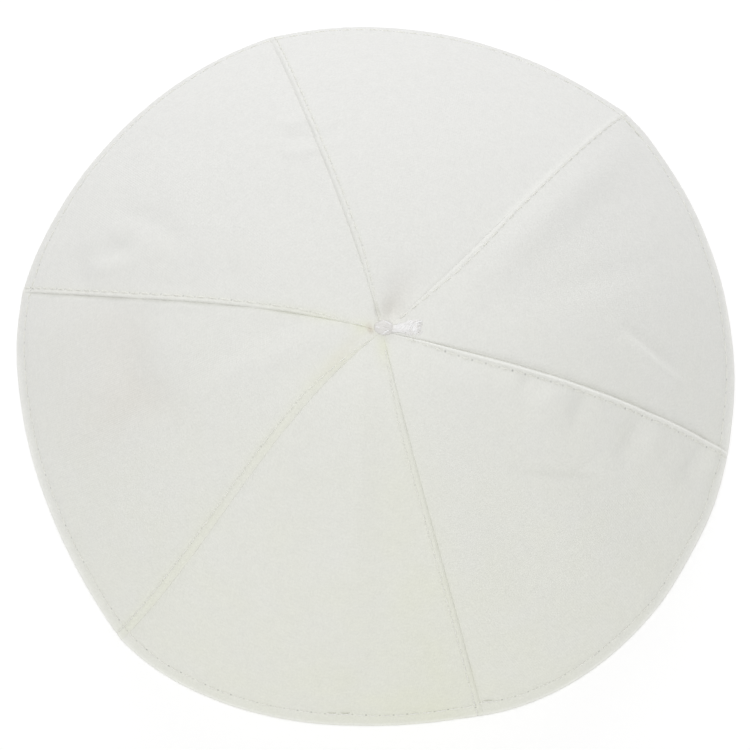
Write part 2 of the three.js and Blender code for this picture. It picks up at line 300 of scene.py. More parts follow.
class StageSettings(bpy.types.PropertyGroup):
    """Camera and light."""

    elevation: bpy.props.FloatProperty(
        name="Elevation", description="Angle of the camera above the floor",
        default=math.radians(82.4), min=0.1, max=math.pi / 2, subtype="ANGLE")
    distance: length_setting("Distance", "From the rim's middle to the camera", 800, 300, 3000)
    lens: bpy.props.FloatProperty(
        name="Lens", description="Focal length",
        default=153.6, min=20, max=300, unit="CAMERA")
    fill: share_setting("Fill", "Strength of the even white light all round", 0.566, 5)
    lamps: share_setting("Lamps", "Share of the full power of the soft lamps", 1, 5)
    table: share_setting("Table", "Strength of the light from under the table", 0.06)


class ZucchettoSettings(bpy.types.PropertyGroup):
    """All settings of the zucchetto."""

    cloth: bpy.props.PointerProperty(type=ClothSettings)
    sewing: bpy.props.PointerProperty(type=SewingSettings)
    stem: bpy.props.PointerProperty(type=StemSettings)
    finish: bpy.props.PointerProperty(type=FinishSettings)
    stage: bpy.props.PointerProperty(type=StageSettings)


# ---- The crown's surface ------------------------------------------------------------------------
# A line down a gore. x, y, length: its way in plan from the apex to the rim; the rest as in SEAMS.
Row = namedtuple("Row", "x y length bow sway round turn")


def mix(low, high, share):
    return low + (high - low) * share


def smooth(value, low, high):
    share = min(1.0, max(0.0, (value - low) / (high - low)))
    return share * share * (3 - 2 * share)


def bell(value, width):
    return math.exp(-(value / width) ** 2)


def gore_row(gore, across):
    """Values of a gore at a share of its way from its own seam to the next one."""
    own = SEAMS[gore]
    following = SEAMS[(gore + 1) % len(SEAMS)]
    turn_over = 360 if following.azimuth < own.azimuth else 0
    azimuth = math.radians(mix(own.azimuth, following.azimuth + turn_over, across))
    bulge = own.middle - (own.rim + following.rim) / 2 + 4 * own.lean * (across - 0.5)
    rim = (mix(own.rim, following.rim, across) + 4 * across * (1 - across) * bulge) * MM
    x = rim * math.cos(azimuth) - APEX.x
    y = rim * math.sin(azimuth) - APEX.y
    return Row(
        x, y, math.hypot(x, y),
        mix(own.bow, following.bow, across) * MM, mix(own.sway, following.sway, across) * MM,
        mix(own.round, following.round, across), mix(own.turn, following.turn, across))


def crown_point(row, down, crown_height, fold=0):
    """Point of the smooth outer surface at a share of the way down from the apex to the rim. Near
    the rim it is lifted by the radius of the rim's fold, so the fold has the rim's full width."""
    # 4 and 10 make bow and sway about the largest distances from the straight line.
    sideways = down * (1 - down) * (4 * row.bow + 10 * row.sway * (1 - 2 * down)) / row.length
    fall = (1 - row.turn) * down ** row.round + row.turn * down ** TURN_POWER
    return Vector((
        APEX.x + down * row.x + sideways * row.y,
        APEX.y + down * row.y - sideways * row.x,
        crown_height * (1 - fall) + fold * smooth(down, FOLD_FROM, 1)))


def outward(row, down, crown_height):
    """Direction out of the cloth, which turns level at the rim and keeps the wall's thickness."""
    fall = (1 - row.turn) * row.round * down ** (row.round - 1)
    fall += row.turn * TURN_POWER * down ** (TURN_POWER - 1)
    steep = math.atan2(crown_height * fall, row.length)
    level = smooth(down, LEVEL_FROM, 1)
    lift = math.atan2(math.cos(steep) * (1 - level), math.sin(steep))
    side = math.cos(lift) / row.length
    direction = Vector((row.x * side, row.y * side, math.sin(lift)))
    return direction / math.cos(math.pi / 2 - steep - lift)


def wall_length(row, crown_height):
    """Length of wall for a whole share of the way down, at the rim's slope."""
    steep = crown_height * ((1 - row.turn) * row.round + row.turn * TURN_POWER)
    return math.hypot(row.length, steep)


def spot(x, y, mark):
    """1 in the middle of a long soft spot, falling to 0 outside. All in millimetres."""
    dx = x - mark.x
    dy = y - mark.y
    far = SPOT_END * max(mark.length, mark.width)
    if abs(dx) > far or abs(dy) > far:
        return 0
    angle = math.radians(mark.angle)
    along = (dx * math.cos(angle) + dy * math.sin(angle)) / mark.length
    aside = (dy * math.cos(angle) - dx * math.sin(angle)) / mark.width
    return bell(math.hypot(along, aside), 1)


def dent_depth(x, y):
    """How far the dents and creases lie in at a place in plan."""
    x = x / MM
    y = y / MM
    depth = sum(dent.depth * spot(x, y, dent) for dent in DENTS)
    for crease in CREASES:
        span_x = crease.to_x - crease.x
        span_y = crease.to_y - crease.y
        length = math.hypot(span_x, span_y)
        along = ((x - crease.x) * span_x + (y - crease.y) * span_y) / length
        aside = ((y - crease.y) * span_x - (x - crease.x) * span_y) / length
        if abs(aside) < CREASE_END * crease.width and 0 < along < length:
            ends = math.sin(math.pi * along / length) ** 0.7
            depth += crease.depth * ends * bell(aside, crease.width)
    return depth * MM


class Survey:
    """The settings of the cloth and the sewing, and the lengths on the crown that both share."""

    def __init__(self, cloth, sewing):
        for settings in (cloth, sewing):
            for name in type(settings).__annotations__:
                setattr(self, name, getattr(settings, name))
        gores = range(len(SEAMS))
        self.widths = [self.measure_widths(gore) for gore in gores]
        self.seam_lengths = [self.measure_seam(gore) for gore in gores]
        self.rim_lengths = []
        start = 0
        for gore in gores:
            lengths = self.measure_rim(gore, start)
            self.rim_lengths.append(lengths)
            start = lengths[-1]
        self.rim_pitch = start / round(start / self.pitch)

    def crown(self, gore, across, down):
        return crown_point(gore_row(gore, across), down, self.crown_height)

    def measure_widths(self, gore):
        """Width of a gore at even shares of the way down."""
        return [(self.crown(gore, 0, d) - self.crown(gore, 1, d)).length for d in SURVEY_SHARES]

    def measure_seam(self, gore):
        """Length of the seam after a gore, from each even share of the way down to the rim."""
        points = [self.crown(gore, 1, down) for down in SURVEY_SHARES]
        return add_up(points[::-1], 0)[::-1]

    def measure_rim(self, gore, start):
        """Length round the rim at even shares of the way across a gore."""
        points = [self.crown(gore, across, RIM_LINE_DOWN) for across in SURVEY_SHARES]
        return add_up(points, start)

    def down_at(self, row, height):
        """Share of the way down that lies a height above the rim, measured along the wall."""
        return 1 - height / wall_length(row, self.crown_height)


def add_up(points, start):
    """Lengths along a line of points, up to each of them."""
    lengths = [start]
    for a, b in zip(points, points[1:]):
        lengths.append(lengths[-1] + (a - b).length)
    return lengths


def read(table, share):
    """Value of a table of even steps at a share of its way."""
    place = min(max(share, 0), 1) * (len(table) - 1)
    step = min(int(place), len(table) - 2)
    return mix(table[step], table[step + 1], place - step)


def find(table, value):
    """Share of the way along a rising or falling table where it has a value."""
    low = 0
    high = len(table) - 1
    rising = table[-1] > table[0]
    while high - low > 1:
        middle = (low + high) // 2
        if (table[middle] < value) == rising:
            low = middle
        else:
            high = middle
    share = (value - table[low]) / (table[high] - table[low])
    return (low + share) / (len(table) - 1)


# Where a point lies on its gore: its row and smooth surface point, its distances to the seams and
# up the wall from the rim, the welt's scale there, and lengths along the nearer seam and the rim.
Place = namedtuple("Place", "gore row down point out before after up scale along round_rim")


def place_at(survey, gore, across, down):
    row = gore_row(gore, across)
    width = read(survey.widths[gore], down)
    nearer = gore if across > 0.5 else gore - 1
    return Place(
        gore, row, down, crown_point(row, down, survey.crown_height, survey.hem_wall / 2),
        outward(row, down, survey.crown_height),
        across * width, (1 - across) * width, (1 - down) * wall_length(row, survey.crown_height),
        min(1, width / FULL_WIDTH), read(survey.seam_lengths[nearer], down),
        read(survey.rim_lengths[gore], across))


def outer_half(down):
    """0 over the inner half of a seam, 1 over its outer half."""
    return smooth(down, OUTER_FROM, OUTER_TO)


def unpressed(down):
    """Share of its height that a welt keeps where the hem presses it."""
    return 1 - PRESSED * smooth(down, PRESSED_FROM, PRESSED_TO)


def rim_line_at(survey, row):
    """Distance of the rim's stitched line from the edge, at the end of a gore's row."""
    count = len(RIM_STRAY)
    turn = math.degrees(math.atan2(row.y + APEX.y, row.x + APEX.x)) % 360 / (360 / count)
    first = int(turn) % count
    stray = mix(RIM_STRAY[first], RIM_STRAY[(first + 1) % count], smooth(turn - first, 0, 1))
    return survey.rim_line + stray * MM


def stitched_line(seam, down, scale):
    """Distance from a seam to its topstitching at a share of the way down."""
    sewn = SEWN[seam]
    return mix(sewn.stitch, sewn.outer_stitch, outer_half(down)) * MM * scale


def hole_pull(length, pitch):
    """1 at a needle hole, 0 between two of them."""
    share = length / pitch
    return bell((share - round(share)) * pitch, HOLE_WIDTH)


def ditch_depth(seam, place):
    """Depth of a seam's ditch, which comes and goes along the seam and gets less towards the apex."""
    sewn = SEWN[seam]
    comes = noise.noise(Vector((place.along / (7 * MM), 2.9 * seam + 0.4, 5.1)))
    held = mix(0.1, 1, smooth(place.along, 0.5 * MM, 4 * MM))
    depth = mix(sewn.ditch, sewn.outer_ditch, outer_half(place.down)) * MM
    depth *= place.scale ** DITCH_POWER
    return held * depth * max(KEPT_DITCH, 1 + 2 * sewn.uneven * comes)


def bulge_lift(seam, down, before):
    """Height to which the gore before a seam's welt stands up along its outer half."""
    stands = SEWN[seam].bulge * MM * outer_half(down) * (1 - smooth(down, 0.92, 1))
    return stands * bell(before + BULGE_PLACE, BULGE_WIDTH)


def welt_lift(survey, place):
    """Height of the cloth beside the next seam, where the allowances are pressed and sewn down."""
    scale = place.scale
    after = place.after
    if after > WELT_END:
        return 0
    seam = (place.gore + 1) % len(SEAMS)
    sewn = SEWN[seam]
    pressed = unpressed(place.down)
    height = sewn.welt * MM * pressed
    wave = WAVE * sewn.welt * MM * math.cos(2 * math.pi * place.along / survey.pitch)
    height += wave * bell(after - WAVE_PLACE, WAVE_PLACE)
    reach = sewn.rise * MM * scale
    rise = smooth(after, -reach, reach) * 2 - 1
    width = survey.welt_width
    fade = 1 - smooth(after, FADE_FROM * width * scale, FADE_TO * width * scale)
    lift = fade * mix(-ditch_depth(seam, place), scale * height, rise)
    drawn = noise.noise(Vector((place.along / (6.5 * MM), 3.1 * seam, after / (14 * MM))))
    lift += 1.5 * sewn.pucker * MM * drawn * bell(after - 3 * MM, 5 * MM) * scale * pressed
    ridge = sewn.ridge * MM * pressed * mix(0.5, 1, smooth(place.down, 0.2, 0.45))
    ridge *= bell(after - 0.5 * sewn.stitch * MM * scale, RIDGE_WIDTH * scale)
    lift += ridge * scale * smooth(after, 0, 0.35 * MM) + bulge_lift(seam, place.down, -after)
    beside = bell(after - stitched_line(seam, place.down, scale), SEAM_LINE_WIDTH)
    pull = survey.groove + survey.hole * hole_pull(place.along, survey.pitch)
    return survey.seam_relief * lift - beside * pull * min(1, 1.5 * scale)


def roll_lift(survey, place):
    """Height of the cloth beside its own seam, where it rolls in under the welt of the other."""
    before = place.before
    if before > ROLL_END:
        return 0
    sewn = SEWN[place.gore]
    reach = sewn.roll * MM * place.scale * mix(0.6, 1, smooth(place.down, 0.2, 0.5))
    left = 1 - min(1, before / reach)
    lift = -ditch_depth(place.gore, place) * left * left
    seed = 3.1 * place.gore + 1.7
    drawn = noise.noise(Vector((place.along / (7.5 * MM), seed, before / (14 * MM))))
    pucker = sewn.pucker * MM * drawn * bell(before - 1 * MM, 4 * MM)
    lift += pucker * place.scale * unpressed(place.down)
    lift += bulge_lift(place.gore, place.down, before)
    return survey.seam_relief * lift


def hem_lift(survey, place):
    """Height of the cloth over the hem, its stitched line and the puckers between."""
    if place.up > HEM_END:
        return 0
    hem = 1 - smooth(place.up, survey.hem_depth - 1 * MM, survey.hem_depth + 1.5 * MM)
    clear = smooth(min(place.before, place.after), 0, 1.5 * MM)
    beside = bell(place.up - rim_line_at(survey, place.row), RIM_LINE_WIDTH)
    pull = survey.hole * hole_pull(place.round_rim, survey.rim_pitch)
    lift = -HEM_SUNK * hem - beside * clear * (survey.groove + pull)
    drawn = noise.noise(Vector((place.round_rim / (7 * MM), 9.3, place.up / (9 * MM))))
    pucker = HEM_PUCKER * drawn * bell(place.up - 4 * MM, 5 * MM)
    return lift + pucker * smooth(place.up, 0, 3 * MM)


def worn_lift(survey, point):
    """Broad waves and fine crinkle of soft cotton."""
    broad = noise.noise(Vector((point.x / (34 * MM), point.y / (34 * MM), 4.7)))
    middle = noise.noise(Vector((point.x / (15 * MM), point.y / (15 * MM), 8.2)))
    fine = noise.noise(Vector((point.x / (5 * MM), point.y / (5 * MM), 1.3)))
    return survey.sag * (broad + 0.35 * middle) + survey.crinkle * (middle + 0.45 * fine)


def outer_lift(survey, place):
    """Height of the finished cloth over the smooth surface."""
    point = place.point
    seam_edge = smooth(min(place.before, place.after), 0, 4 * MM)
    worn = worn_lift(survey, point) * seam_edge * smooth(place.down, 0.02, 0.12)
    lift = welt_lift(survey, place) + roll_lift(survey, place) + hem_lift(survey, place)
    lift -= sum(mark.depth * MM * spot(point.x / MM, point.y / MM, mark) for mark in PINCHES)
    return lift + worn * (1 - 0.7 * smooth(place.down, 0.94, 1)) - dent_depth(point.x, point.y)


def inner_depth(survey, place):
    """Depth of the cloth's inside: backing, turned hem and the allowances sewn down over it."""
    hem = 1 - smooth(place.up, survey.hem_depth, survey.hem_depth + 0.5 * MM)
    depth = mix(survey.wall, survey.hem_wall, hem)
    edge = survey.welt_width * place.scale
    allowance = 1 - smooth(place.after, edge, edge + 0.45 * MM)
    depth += ALLOWANCE * allowance * place.scale * (1 - hem)
    line = stitched_line((place.gore + 1) % len(SEAMS), place.down, place.scale)
    depth -= INNER_LINE * bell(place.after - line, INNER_LINE_WIDTH) * place.scale
    depth -= INNER_LINE * bell(place.up - rim_line_at(survey, place.row), INNER_LINE_WIDTH)
    depth += 0.5 * worn_lift(survey, place.point * 1.7)
    return depth + dent_depth(place.point.x, place.point.y)


# ---- Meshes -------------------------------------------------------------------------------------
def finish_piece(mesh_source, name, material, replaced=()):
    """Makes a shown piece of the cap from a bmesh, and hides the parts of the packed model that it
    replaces.
    """
    bmesh.ops.recalc_face_normals(mesh_source, faces=mesh_source.faces)
    if mesh_source.calc_volume(signed=True) < 0:
        bmesh.ops.reverse_faces(mesh_source, faces=mesh_source.faces)
    for face in mesh_source.faces:
        face.smooth = True
    mesh = bpy.data.meshes.new(name)
    mesh_source.to_mesh(mesh)
    mesh_source.free()
    mesh.materials.append(material)
    piece = bpy.data.objects.new(name, mesh)
    bpy.context.scene.collection.objects.link(piece)
    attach(piece, "root")
    if replaced:
        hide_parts(*replaced)
    return piece


def across_at(share, width, scale):
    """Share of the way across a gore for a share of its columns, closer beside the seams."""
    roll = ROLL_REACH * scale
    welt = width - WELT_REACH * scale
    if share < ROLL_SHARE:
        distance = mix(SEAM_GAP, roll, (share / ROLL_SHARE) ** NEARER)
    elif share > 1 - WELT_SHARE:
        left = (1 - share) / WELT_SHARE
        distance = mix(width - SEAM_GAP, welt, left ** NEARER)
    else:
        distance = mix(roll, welt, (share - ROLL_SHARE) / (1 - ROLL_SHARE - WELT_SHARE))
    return distance / width


def down_for(survey, row, share):
    """Share of the way down for a share of the rows, closer in the rim band."""
    tip = TIP_HOLE / row.length
    band = survey.down_at(row, RIM_BAND)
    if share < RIM_BAND_FROM:
        return mix(tip, band, share / RIM_BAND_FROM)
    return mix(band, 1, (share - RIM_BAND_FROM) / (1 - RIM_BAND_FROM))


def gore_sheet():
    """A double sheet of unit size: its outside at z = 0, its inside at z = 1, joined all round."""
    sheet = bmesh.new()
    unit = Matrix.Translation((0.5, 0.5, 0))
    bmesh.ops.create_grid(sheet, x_segments=COLUMNS, y_segments=ROWS, size=0.5, matrix=unit)
    raised = bmesh.ops.extrude_face_region(sheet, geom=sheet.faces[:], use_keep_orig=True)["geom"]
    inside = [item for item in raised if isinstance(item, bmesh.types.BMVert)]
    bmesh.ops.translate(sheet, verts=inside, vec=(0, 0, 1))
    fold = [
        edge for edge in sheet.edges
        if min(v.co.y for v in edge.verts) > 1 - 1e-6
        and abs(edge.verts[0].co.z - edge.verts[1].co.z) > 0.5
    ]
    bmesh.ops.subdivide_edges(sheet, edges=fold, cuts=FOLD_CUTS, use_grid_fill=True)
    return sheet


# Marks of colour, like dents: their depth is a strength from 0 to 1. These first ones have
# yellowed as the cloth aged.
YELLOW = [
    Dent(0, -115, 230, 112, 0, 0.40),
    Dent(9, -50, 36, 8, -78, 0.13),
    Dent(10, -84, 18, 9, 0, 0.20),
    Dent(-14, 6.4, 10, 1.6, -12, 0.22),
    Dent(-9.5, -4.0, 9, 2.0, 44, 0.22),
    Dent(1.5, -3.0, 4.5, 1.7, -78, 0.22),
    Dent(-3.0, 3.4, 2.2, 1.8, 0, 0.30),
    Dent(1.9, -0.6, 2.6, 1.3, -78, 0.35),
]
# Rust-brown stains, like dents. The two marks north of the stem are painted shade in the hollow
# there; the first, on the pinch beside the head, is partly a brown tint and partly painted shade.
RUST_AND_SHADE = [
    Dent(-1.3, 3.1, 1.2, 0.7, 112, 0.32),
    Dent(-8.6, -3.4, 6, 1.5, 44, 0.08),
    Dent(-61, 3, 6, 9, 10, 0.06),
    Dent(-58, -10, 10, 6, -20, 0.07),
    Dent(-66, -15, 9, 8, 0, 0.05),
    Dent(-71, 4, 12, 16, 0, 0.03),
    Dent(5, 11, 7, 4, 62, 0.07),
    Dent(3.2, 8.2, 2.6, 1.8, 75, 0.05),
]
# Painted highlights, like dents: over the middle of the crown, along a crease east of the apex, and
# on two broad spots.
PAINTED_HIGHLIGHTS = [
    Dent(-1, -4, 20, 13, 20, 0.10),
    Dent(65.8, 0.9, 9.5, 1.15, -32, 0.22),
    Dent(25, 8.5, 11, 6.5, 35, 0.11),
    Dent(39.5, -12.0, 5.5, 3.6, 20, 0.09),
]


def marks(survey, place):
    """How far the cloth has yellowed and taken brown stains or painted shade at a place, how strong
    a painted highlight it takes there, and how far needle holes there stand open, for their
    painted shade."""
    x = place.point.x / MM
    y = place.point.y / MM
    seam = (place.gore + 1) % len(SEAMS)
    edge = SEWN[seam].stitch * MM * place.scale
    pressed = bell(place.after - edge / 2, edge) + 0.3 * bell(place.before, 0.6 * MM)
    yellow = survey.cream * SEWN[seam].cream * pressed
    yellow += sum(mark.depth * spot(x, y, mark) for mark in YELLOW)
    rust = sum(mark.depth * spot(x, y, mark) for mark in RUST_AND_SHADE)
    pale = sum(mark.depth * spot(x, y, mark) for mark in PAINTED_HIGHLIGHTS)

    # Painted highlight on crests: of the welt, or of the other gore where that stands up over the
    # outer half.
    own = SEWN[place.gore]
    outer = outer_half(place.down)
    stood_up = outer * (SEWN[seam].bulge > 0)
    worn = SEWN[seam].pale * mix(0.5, 1.12, smooth(place.down, 0.1, 0.6))
    crest = edge * mix(0.33, 0.385, smooth(place.down, 0.15, 0.45))
    pale += worn * (1 - stood_up) * bell(place.after - crest, 0.24 * MM)
    worn = SEWN[seam].pale * stood_up
    pale += worn * bell(place.after - BULGE_PLACE, CREST_HIGHLIGHT_WIDTH)
    worn = own.pale * outer * (own.bulge > 0)
    pale += worn * bell(place.before + BULGE_PLACE, CREST_HIGHLIGHT_WIDTH)

    # Painted highlight along the fold of the rim, broader at the two sides than in front, and none
    # behind.
    side = min(1, (x / 90) ** 2)
    near = bell(place.up - mix(0.2, 0.9, side) * MM, mix(0.7, 1.8, side) * MM)
    pale += mix(0.16, 0.46, side) * near * (1 - smooth(y - 0.2 * x, 5, 42))
    pale += 0.24 * bell(place.up - 0.45 * MM, 0.4 * MM) * (1 - smooth(y, 50, 80))
    holes = SEWN[seam].holes * smooth(place.down, 0.05, 0.2)
    return yellow, rust, pale, mix(1, holes, smooth(place.up, 4 * MM, 8 * MM))


def lay_gore(survey, gore, sheet):
    """Lays the double sheet on the crown between two seams. UV "cloth" is in metres on the flat
    cloth. UVs "seam_line" and "rim_line" count stitches along a stitched line and away from it."""
    cloth = sheet.copy()
    layers = [cloth.loops.layers.uv.new(name) for name in ("cloth", "seam_line", "rim_line")]
    mark_layers = [cloth.verts.layers.float.new(name) for name in CLOTH_MARKS]
    fold_radius = survey.hem_wall / 2
    middle = gore_row(gore, 0.5)
    seam = (gore + 1) % len(SEAMS)
    widths = {}
    places = {}
    flat = {}
    for vert in cloth.verts:
        across_share, down_share, inward = vert.co
        key = round(down_share, 6)
        if key not in widths:
            middle_down = down_for(survey, middle, down_share)
            width = read(survey.widths[gore], middle_down)
            widths[key] = (width, min(1, width / FULL_WIDTH))
        width, scale = widths[key]
        through = (round(across_share, 6), key)
        if through not in places:
            across = across_at(across_share, width, scale)
            row = gore_row(gore, across)
            place = place_at(survey, gore, across, down_for(survey, row, down_share))
            outside = place.point + place.out * outer_lift(survey, place)
            places[through] = (place, outside, marks(survey, place), across)
        place, outside, mark_amounts, across = places[through]
        if inward < 1e-6:
            vert.co = outside.copy()
        else:
            inside = place.point - place.out * inner_depth(survey, place)
            turn = math.pi * inward
            vert.co = outside.lerp(inside, (1 - math.cos(turn)) / 2)
            vert.co.z -= fold_radius * math.sin(turn)
        for layer, amount in zip(mark_layers, mark_amounts):
            vert[layer] = amount
        flat[vert] = (
            ((across - 0.5) * width, place.down * place.row.length * FLAT_LENGTH),
            (place.along / survey.pitch,
             (place.after - stitched_line(seam, place.down, place.scale)) / survey.pitch),
            (place.round_rim / survey.rim_pitch,
             (place.up - rim_line_at(survey, place.row)) / survey.pitch))
    for face in cloth.faces:
        for loop in face.loops:
            for layer, place in zip(layers, flat[loop.vert]):
                loop[layer].uv = place
    return cloth


def new_thread():
    """An empty mesh with the UV map of the threads."""
    thread = bmesh.new()
    thread.loops.layers.uv.new("thread")
    return thread


def thread_template(sides, rings):
    """A closed tube of unit radius from 0 to 1 along X, with the UVs of a cylinder."""
    tube = new_thread()
    lie = Matrix.Translation((0.5, 0, 0)) @ Matrix.Rotation(math.pi / 2, 4, "Y")
    bmesh.ops.create_cone(
        tube, cap_ends=True, segments=sides, radius1=1, radius2=1, depth=1, matrix=lie, calc_uvs=True)
    lengthwise = [e for e in tube.edges if abs(e.verts[0].co.x - e.verts[1].co.x) > 0.5]
    bmesh.ops.subdivide_edges(tube, edges=lengthwise, cuts=rings - 1, use_grid_fill=True)
    return tube


PATH_STEP = 0.02  # share of a path by which its direction is read


def lay_thread(target, template, path, radius, flatness=1):
    """Bends a copy of the template along path, a function of a share, and joins it to target.
    radius is a function of the share too, flatness the share of it upwards."""
    strand = template.copy()
    frames = {}
    for vert in strand.verts:
        share, y, z = vert.co
        key = round(share, 5)
        if key not in frames:
            ahead = path(min(1, share + PATH_STEP)) - path(max(0, share - PATH_STEP))
            side = ahead.cross(Vector((0, 0, 1))).normalized()
            frames[key] = (path(share), side, side.cross(ahead).normalized(), radius(share))
        centre, side, up, thick = frames[key]
        vert.co = centre + (side * y + up * z * flatness) * thick
    scratch = bpy.data.meshes.new("scratch")
    strand.to_mesh(scratch)
    strand.free()
    target.from_mesh(scratch)
    bpy.data.meshes.remove(scratch)


STITCH_TURNS = 1.5  # of the two plies round each other
STITCH_DIVE = 2.2  # depth of its ends under the cloth, in thread widths
PLY_REACH = 0.45  # from the stitch's middle to a ply, in thread widths
STITCH_HEIGHT = 0.35  # of its middle over the cloth, in thread widths


def lay_stitch(target, template, start, end, surface, thread):
    """Lays one stitch of two twisted plies between two needle holes. surface gives the point on
    the cloth and its outward direction at a share of the way, start and end are those shares."""
    for ply in range(2):
        def path(share, ply=ply):
            point, out, aside = surface(mix(start, end, share))
            dive = 1 - math.sin(math.pi * min(1, max(0, share))) ** 0.35
            turn = 2 * math.pi * (STITCH_TURNS * share + ply / 2)
            height = STITCH_HEIGHT * thread - STITCH_DIVE * thread * dive
            height += PLY_REACH * thread * math.sin(turn)
            return point + out * height + aside * (PLY_REACH * thread * math.cos(turn))

        lay_thread(target, template, path, lambda share: thread / 2)


# ---- Materials ----------------------------------------------------------------------------------
def new_material(name):
    """A material with an empty node tree."""
    material = bpy.data.materials.new(name)
    material.use_nodes = True
    material.node_tree.nodes.clear()
    return material, material.node_tree


def node(tree, kind, settings, inputs):
    """Adds a node with its settings, and gives each input a value or a link."""
    made = tree.nodes.new(kind)
    for name, value in settings.items():
        setattr(made, name, value)
    for name, value in inputs.items():
        if isinstance(value, bpy.types.NodeSocket):
            tree.links.new(value, made.inputs[name])
        else:
            made.inputs[name].default_value = value
    return made


def uv_map(tree, name):
    return node(tree, "ShaderNodeUVMap", {"uv_map": name}, {}).outputs["UV"]


def object_place(tree):
    return node(tree, "ShaderNodeTexCoord", {}, {}).outputs["Object"]


def attribute(tree, name):
    return node(tree, "ShaderNodeAttribute", {"attribute_name": name}, {}).outputs["Fac"]


def speckle(tree, vector, size, detail=2, roughness=0.5):
    """Noise from 0 to 1 with spots about as wide as size."""
    return node(
        tree, "ShaderNodeTexNoise", {},
        {"Vector": vector, "Scale": 1 / size, "Detail": detail, "Roughness": roughness}
    ).outputs["Fac"]


def ranged(tree, value, low, high, start, end, settings=()):
    """A value whose range from low to high is laid on the range from start to end."""
    return node(
        tree, "ShaderNodeMapRange", dict(settings),
        {"Value": value, "From Min": low, "From Max": high, "To Min": start, "To Max": end}
    ).outputs[0]


def product(tree, one, other, clamp=False):
    settings = {"operation": "MULTIPLY", "use_clamp": clamp}
    return node(tree, "ShaderNodeMath", settings, {0: one, 1: other}).outputs[0]


def between(tree, share, one, other):
    """A value part of the way from one to the other."""
    return node(
        tree, "ShaderNodeMix", {"data_type": "FLOAT"}, {0: share, 2: one, 3: other}).outputs[0]


def tinted(tree, share, one, other):
    """A colour part of the way from one to the other."""
    return node(
        tree, "ShaderNodeMix", {"data_type": "RGBA"}, {0: share, 6: one, 7: other}).outputs[2]


def scaled(tree, vector, share):
    return node(
        tree, "ShaderNodeVectorMath", {"operation": "SCALE"}, {0: vector, "Scale": share}
    ).outputs["Vector"]


def bumped(tree, height, strength, distance, **under):
    """A normal raised by a height, over the normal given as under."""
    return node(
        tree, "ShaderNodeBump", {},
        {"Strength": strength, "Distance": distance, "Height": height, **under}
    ).outputs["Normal"]


def close_material(tree, inputs):
    """Ends a node tree in a shader with those inputs."""
    shader = node(tree, "ShaderNodeBsdfPrincipled", {}, inputs)
    node(tree, "ShaderNodeOutputMaterial", {}, {"Surface": shader.outputs["BSDF"]})


def colour(values):
    return (*values[:3], 1)


MOST = (0.3, 0.7)  # the range in which most of a noise lies


